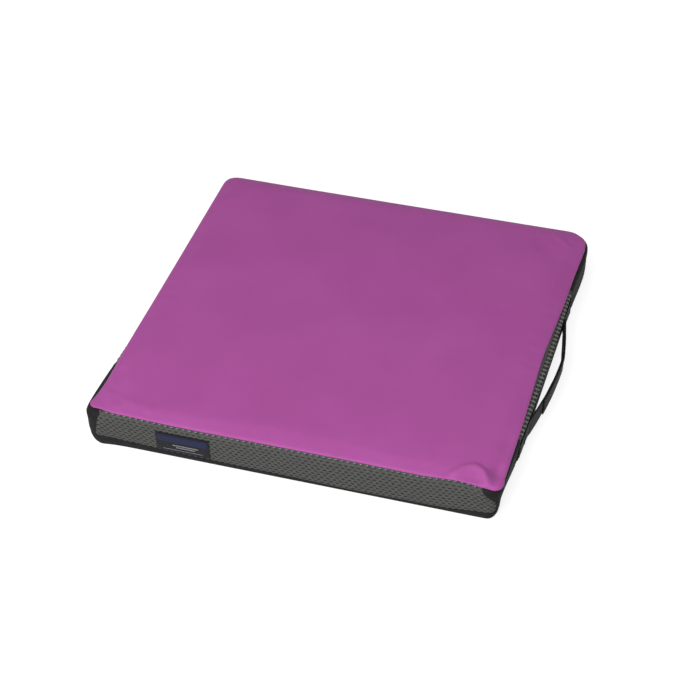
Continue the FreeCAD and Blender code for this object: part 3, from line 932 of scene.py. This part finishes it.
black_satin = satin("black label satin", (0.0075, 0.0077, 0.0105))
blue_satin = satin("blue label satin", (0.010, 0.013, 0.048))
pale_satin = satin("pale label yarn", (0.17, 0.17, 0.19))


def label_piece(name, material, width, tall, across=0, up=0, proud=1.05 * MM, thickness=0.2 * MM):
    piece = cut_cloth(name, width, tall, min(1.2 * MM, tall))
    move_points(piece, on_label(across, up, proud)(points_of(piece)))
    finish_with(piece, "SOLIDIFY", thickness=thickness, offset=-1)
    dress(piece, material, angle=50)
    return piece


label = label_piece("label_backing", black_satin, label_width, label_tall, proud=0.9 * MM, thickness=0.8 * MM)
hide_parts("label")
label_piece("label_band", blue_satin, label_width - 5 * MM, 8 * MM, up=5.4 * MM, proud=1.0 * MM)
label_piece("label_line_upper", pale_satin, 27 * MM, 1.3 * MM, across=3 * MM, up=-2.2 * MM)
label_piece("label_line_middle", pale_satin, 20 * MM, 1.3 * MM, across=3 * MM, up=-4.8 * MM)
label_piece("label_line_lower", pale_satin, 42 * MM, 0.6 * MM, up=-8.4 * MM)
for edge, up in (("upper", 1), ("lower", -1)):
    lay = on_label(0, up * (label_tall / 2 - 1.1 * MM), 0.95 * MM)
    stitch_row(f"label_{edge}_stitches", 22, 2.5 * MM, 1.9 * MM, 0.4 * MM, lay)

# ---- Carry handle --------------------------------------------------------------------------------
# One length of ribbed webbing, sewn flat to the side at both ends and standing off it in a shallow bow.
# A second layer is sewn on its outer face where the hand takes it.
loop_low, loop_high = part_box("handle_loop")
strap_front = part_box("handle_end_front")[0].y
strap_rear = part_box("handle_end_rear")[1].y
strap_tall = loop_high.z - loop_low.z
strap_centre = (loop_low.z + loop_high.z) / 2
webbing_layer = 1.6 * MM
bow_middle = 9 * MM
bow_reach = {"front": 107 * MM, "rear": 68 * MM}
bow_power = {"front": 2.0, "rear": 1.2}
bow_depth = 12.0 * MM


def bow_at(y):
    """How far the strap stands off the side: a flat arch that runs out at the sewn ends."""
    reach = np.where(y < bow_middle, bow_reach["front"], bow_reach["rear"])
    power = np.where(y < bow_middle, bow_power["front"], bow_power["rear"])
    arch = bow_depth * (1 - (np.abs(y - bow_middle) / reach) ** power)
    return (arch + np.sqrt(arch**2 + (0.9 * MM) ** 2)) / 2


def strap_place(y, up, out):
    """A point on the strap: along it, up its width and out from the middle of its thickness."""
    bow = bow_at(y)
    slope = (bow_at(y + 0.5 * MM) - bow_at(y - 0.5 * MM)) / MM
    lean = math.radians(5) * bow / bow_depth
    across = 1 / np.sqrt(1 + slope**2)
    sewn = 1 - np.clip(bow / (1.5 * MM), 0, 1)
    flush = half_side + 1.5 * MM + belly(at_right(y), strap_centre + up)
    free = half_side + 2.9 * MM + bow + up * np.sin(lean)
    x = flush * sewn + free * (1 - sewn) + out * across
    return np.column_stack([x, y - out * slope * across, strap_centre + up * np.cos(lean)])


def webbing_weave():
    """Black polyester webbing: chevron ribs across the strap and fine ribs along it."""
    look = new_look("black webbing", (0.018, 0.018, 0.0185), 0.6)
    place = flat_place(look)
    split = look.nodes.new("ShaderNodeSeparateXYZ")
    look.links.new(place, split.inputs["Vector"])
    zigzag = calculate(look, "PINGPONG", split.outputs["Y"], 2.5 * MM)
    slanted = calculate(look, "ADD", split.outputs["X"], zigzag)
    turns = calculate(look, "MULTIPLY", slanted, 2 * math.pi / (1.5 * MM))
    chevrons = calculate(look, "SINE", turns)
    wales = ribs(look, place, "Y", 0.9 * MM)
    dust = mottle(look, place, 160.0, 4.0)
    tint(look, dust, [(0.008, 0.008, 0.0085), (0.0135, 0.0135, 0.014)])
    weave = calculate(look, "MULTIPLY_ADD", chevrons, 0.35, wales)
    emboss(look, weave, 0.16 * MM, 0.9)
    set_shader(look, Specular_IOR_Level=0.08)
    return look.material


webbing = webbing_weave()


def strap_layer(name, front, rear, inner, thickness):
    """A length of webbing with full selvedges, its inner face at a distance from the strap's middle."""
    strip = cut_cloth(name, rear - front, strap_tall - 0.4 * MM, 1.4 * MM)
    finish_with(strip, "SOLIDIFY", thickness=thickness, offset=1)
    points = points_of(strip)
    selvedge = np.clip((strap_tall / 2 - np.abs(points[:, 1])) / (1.2 * MM), 0, 1)
    ripple = 0.12 * MM * np.sin(points[:, 0] * 210 + points[:, 1] * 60) * np.sin(points[:, 0] * 47)
    out = inner + points[:, 2] * (0.75 + 0.25 * selvedge) + ripple
    move_points(strip, strap_place(points[:, 0] + (front + rear) / 2, points[:, 1], out))
    dress(strip, webbing, angle=50, body=None)
    return strip


def bend_with_loop(piece):
    """Bake a piece's placement into its points."""
    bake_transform(piece)


grip_front = -60 * MM
grip_rear = 72 * MM
grip_layer = 1.1 * MM
strap = strap_layer("handle_webbing", strap_front, strap_rear, -webbing_layer, webbing_layer)
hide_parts("handle_loop", "handle_end_front", "handle_end_rear")
bend_with_loop(strap)
grip = strap_layer("handle_grip", grip_front, grip_rear, 0.12 * MM, grip_layer)
bend_with_loop(grip)


def along_strap(y, up, out):
    return lambda flat: strap_place(y + flat[:, 0], up + flat[:, 1], out + flat[:, 2])


def across_strap(y, out):
    return lambda flat: strap_place(y - flat[:, 1], flat[:, 0], out + flat[:, 2])


strap_face = grip_layer + 0.2 * MM
grip_pitch = 3.2 * MM
grip_count = int((grip_rear - grip_front - 6 * MM) / grip_pitch)
for edge, up in (("upper", 1), ("lower", -1)):
    lay = along_strap((grip_front + grip_rear) / 2, up * (strap_tall / 2 - 2.6 * MM), strap_face)
    row = stitch_row(f"grip_{edge}_stitches", grip_count, grip_pitch, 2.4 * MM, 0.55 * MM, lay, body=None)
    bend_with_loop(row)
tack_pitch = 0.62 * MM
tack_slant = math.radians(75)
for end, y in (("front", grip_front + 2.2 * MM), ("rear", grip_rear - 2.2 * MM)):
    lay = across_strap(y, strap_face)
    row = stitch_row(f"grip_{end}_tack", 24, tack_pitch, 1.9 * MM, 0.5 * MM, lay, body=None, slant=tack_slant)
    bend_with_loop(row)
sewn_tacks = {
    "front_outer": strap_front + 4 * MM,
    "front_inner": strap_front + 24 * MM,
    "rear_inner": strap_rear - 24 * MM,
    "rear_outer": strap_rear - 4 * MM,
}
for name, y in sewn_tacks.items():
    lay = across_strap(y, 0.25 * MM)
    tack = stitch_row(f"tack_{name}", 27, tack_pitch, 2.2 * MM, 0.6 * MM, lay, slant=tack_slant)
    if name == "front_outer":
        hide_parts("handle_tacks")

# ---- Zip -----------------------------------------------------------------------------------------
# A black coil zip between the two rear borders: knitted tapes, two coils, and a cloth tab over each end.
coil_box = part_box("zip_coil_upper")
zip_height = (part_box("zip_coil_upper")[0].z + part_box("zip_coil_lower")[1].z) / 2
coil_face = (coil_box[0].y + coil_box[1].y) / 2
coil_pitch = 1.5 * MM
coil_rise = 1.35 * MM
coil_count = int((coil_box[1].x - coil_box[0].x) / coil_pitch)


def zip_knit():
    """Warp-knitted polyester tape: fine wales along it."""
    look = new_look("zip tape knit", (0.017, 0.017, 0.018), 0.75)
    place = flat_place(look)
    dye = mottle(look, place, 200.0)
    tint(look, dye, [(0.013, 0.013, 0.014), (0.023, 0.023, 0.024)])
    emboss(look, crossed_ribs(look, place, 0.6 * MM, 0.8 * MM), 0.12 * MM, 0.8)
    return look.material


def coil_nylon():
    """Smooth black nylon monofilament with a soft gloss."""
    look = new_look("coil nylon", (0.02, 0.02, 0.02), 0.38)
    place = object_place(look)
    grain = mottle(look, place, 1200.0)
    tint(look, grain, [(0.014, 0.014, 0.014), (0.026, 0.026, 0.026)])
    emboss(look, grain, 0.02 * MM, 0.5)
    set_shader(look, Coat_Weight=0.2)
    return look.material


tape_knit = zip_knit()
nylon = coil_nylon()
for level, up in (("upper", 1), ("lower", -1)):
    low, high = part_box(f"zip_tape_{level}")
    tape = cut_cloth(f"zip_tape_cloth_{level}", high.x - low.x, high.z - low.z, 2 * MM)
    points = points_of(tape)
    height = (low.z + high.z) / 2 + points[:, 1]
    move_points(tape, np.column_stack([-points[:, 0], 0 * points[:, 0] + high.y, height]))
    finish_with(tape, "SOLIDIFY", thickness=high.y - low.y, offset=-1)
    dress(tape, tape_knit, angle=50)
    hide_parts(f"zip_tape_{level}")

    deselect()
    bpy.ops.mesh.primitive_torus_add(
        major_segments=12, minor_segments=5, major_radius=0.75 * MM, minor_radius=0.34 * MM
    )
    coil = newest(f"zip_coil_turns_{level}")
    coil.rotation_euler = (0, math.pi / 2, 0)
    apply_only("rotation")
    coil.scale = (1, 1, 1.72)
    coil.rotation_euler = (0, 0.2 * up, 0.12)
    apply_only("rotation", "scale")
    repeat(coil, coil_count, (coil_pitch, 0, 0))
    to_middle(coil)
    centre = zip_height + up * coil_rise
    move_points(coil, points_of(coil) + [up * coil_pitch / 4, coil_face, centre])
    dress(coil, nylon)
    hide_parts(f"zip_coil_{level}")

    def on_tape(flat, face=high.y, height=zip_height + up * 3.7 * MM):
        return np.column_stack([-flat[:, 0], face + flat[:, 2], height + flat[:, 1]])

    stitch_row(f"coil_stitches_{level}", 132, 2.5 * MM, 2.0 * MM, 0.4 * MM, on_tape)

    def on_border(flat, height=zip_height + up * (slot_high - slot_low + 3.6 * MM) / 2):
        return cover_side(at_rear(-flat[:, 0]), height + flat[:, 1], flat[:, 2] + 0.55 * MM)

    stitch_row(f"zip_border_stitches_{level}", 114, 3 * MM, 2.3 * MM, 0.5 * MM, on_border)

tab_low, tab_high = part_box("zip_end_tabs")
tab_width = tab_high.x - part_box("zip_stops")[1].x
for end, sign in (("near", 1), ("far", -1)):
    deselect()
    middle = sign * (tab_high.x - tab_width / 2 - 0.3 * MM)
    bpy.ops.mesh.primitive_cube_add(size=1, location=(middle, tab_high.y, zip_height))
    tab = newest(f"zip_cloth_tab_{end}")
    tab.scale = (tab_width + 2 * MM, 1.3 * MM, tab_high.z - tab_low.z + 1 * MM)
    apply_only("location", "scale")
    finish_with(tab, "BEVEL", width=0.5 * MM, segments=3)
    keep_upright_place(tab)
    dress(tab, black_cloth, angle=50)
    if end == "near":
        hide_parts("zip_end_tabs")


def zip_enamel():
    """Satin black enamel on die-cast zinc, thinner and brighter in small worn specks."""
    look = new_look("zip enamel", (0.03, 0.03, 0.032), 0.34)
    place = object_place(look)
    grain = mottle(look, place, 500.0, 6.0)
    tint(look, grain, [(0.022, 0.022, 0.024), (0.05, 0.05, 0.053)], 0.35, 0.8)
    emboss(look, mottle(look, place, 1500.0), 0.02 * MM, 0.4)
    set_shader(look, Coat_Weight=0.35, Coat_Roughness=0.2)
    return look.material


enamel = zip_enamel()
for node in ("zip_slider", "zip_pull_tab", "zip_stops"):
    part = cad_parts[node]
    part.data.materials.clear()
    part.data.materials.append(enamel)

# ---- Foam core -----------------------------------------------------------------------------------
# Two glued layers fill the cover: a firm, resilient base and a softer, slow-recovering topper.


def open_cells(name, light, dark, cell):
    """Open-cell foam: small round pores in a pale matt web, darkened towards their middles as painted shade.
    """
    look = new_look(name, light, 0.9)
    place = object_place(look)
    pores = look.nodes.new("ShaderNodeTexVoronoi")
    pores.inputs["Scale"].default_value = 1 / cell
    look.links.new(place, pores.inputs["Vector"])
    # Painted shade: the colour darkens towards the middle of each pore, where its bump is deepest.
    tint(look, pores.outputs["Distance"], [dark, light], 0.1, 0.55)
    emboss(look, pores.outputs["Distance"], 0.4 * MM, 0.7)
    set_shader(look, Subsurface_Weight=0.05)
    return look.material


def foam_layer(name, node, foam, edge, crown=0.0):
    """A cut foam block with rounded corners and soft edges, crowned a little where it is asked for."""
    low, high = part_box(node)
    size = high - low
    deselect()
    bpy.ops.mesh.primitive_cube_add(size=1, location=(low + high) / 2)
    block = newest(name)
    block.scale = (size.x, size.y, size.z - crown)
    apply_only("location", "scale")
    bpy.ops.object.mode_set(mode="EDIT")
    bpy.ops.mesh.select_all(action="DESELECT")
    bpy.ops.object.mode_set(mode="OBJECT")
    for line in block.data.edges:
        ends = [block.data.vertices[k].co for k in line.vertices]
        line.select = abs(ends[0].z - ends[1].z) > MM
    bpy.ops.object.mode_set(mode="EDIT")
    bpy.ops.mesh.select_mode(type="EDGE")
    bpy.ops.mesh.bevel(offset=16 * MM, segments=8)
    bpy.ops.object.mode_set(mode="OBJECT")
    finish_with(block, "BEVEL", width=edge, segments=6, limit_method="ANGLE", angle_limit=math.radians(50))
    finish_with(block, "REMESH", mode="VOXEL", voxel_size=3.2 * MM, adaptivity=0)
    points = points_of(block)
    share = (points[:, 2] - points[:, 2].min()) / np.ptp(points[:, 2])
    swelling = (1 - (points[:, 0] / half_side) ** 2) * (1 - (points[:, 1] / half_side) ** 2)
    points[:, 2] += share * crown * (swelling - 0.5)
    points[:, 2] -= share * 3.2 * MM * bump(points[:, 0], points[:, 1], creased_corner, (11 * MM, 16 * MM))
    move_points(block, points)
    dress(block, foam)
    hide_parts(node)


firm = open_cells("foam_core_base foam", (0.62, 0.6, 0.5), (0.42, 0.4, 0.32), 1.6 * MM)
soft = open_cells("foam_core_topper foam", (0.75, 0.68, 0.45), (0.55, 0.48, 0.3), 1.0 * MM)
foam_layer("foam_core_base", "foam_base", firm, edge=3 * MM)
foam_layer("foam_core_topper", "foam_topper", soft, edge=13 * MM, crown=0.8 * MM)

# ---- Floor and light -----------------------------------------------------------------------------
# A plain pale floor and soft studio light.
deselect()
bpy.ops.mesh.primitive_plane_add(size=40)
floor = bpy.context.object
floor.name = "floor"
floor_look = new_look("pale floor", (0.3, 0.3, 0.3), 0.9)
set_shader(floor_look, Specular_IOR_Level=0.0, Emission_Color=(1, 1, 1, 1), Emission_Strength=0.84)
floor.data.materials.append(floor_look.material)


def softbox(name, place, aim, size, power):
    bpy.ops.object.light_add(type="AREA", location=place)
    lamp = bpy.context.object
    lamp.name = name
    lamp.data.size = size
    lamp.data.energy = power
    lamp.rotation_euler = (Vector(aim) - Vector(place)).to_track_quat("-Z", "Y").to_euler()


softbox("front softbox", (-0.2, -1.45, 1.15), (0.04, -0.06, 0), 1.1, 23.5)
softbox("overhead softbox", (-0.15, -0.75, 2.2), (0, -0.1, 0), 1.8, 23)
world = bpy.data.worlds.new("studio")
bpy.context.scene.world = world
world.use_nodes = True
world.node_tree.nodes["Background"].inputs["Color"].default_value = (1, 1, 1, 1)
world.node_tree.nodes["Background"].inputs["Strength"].default_value = 0.26
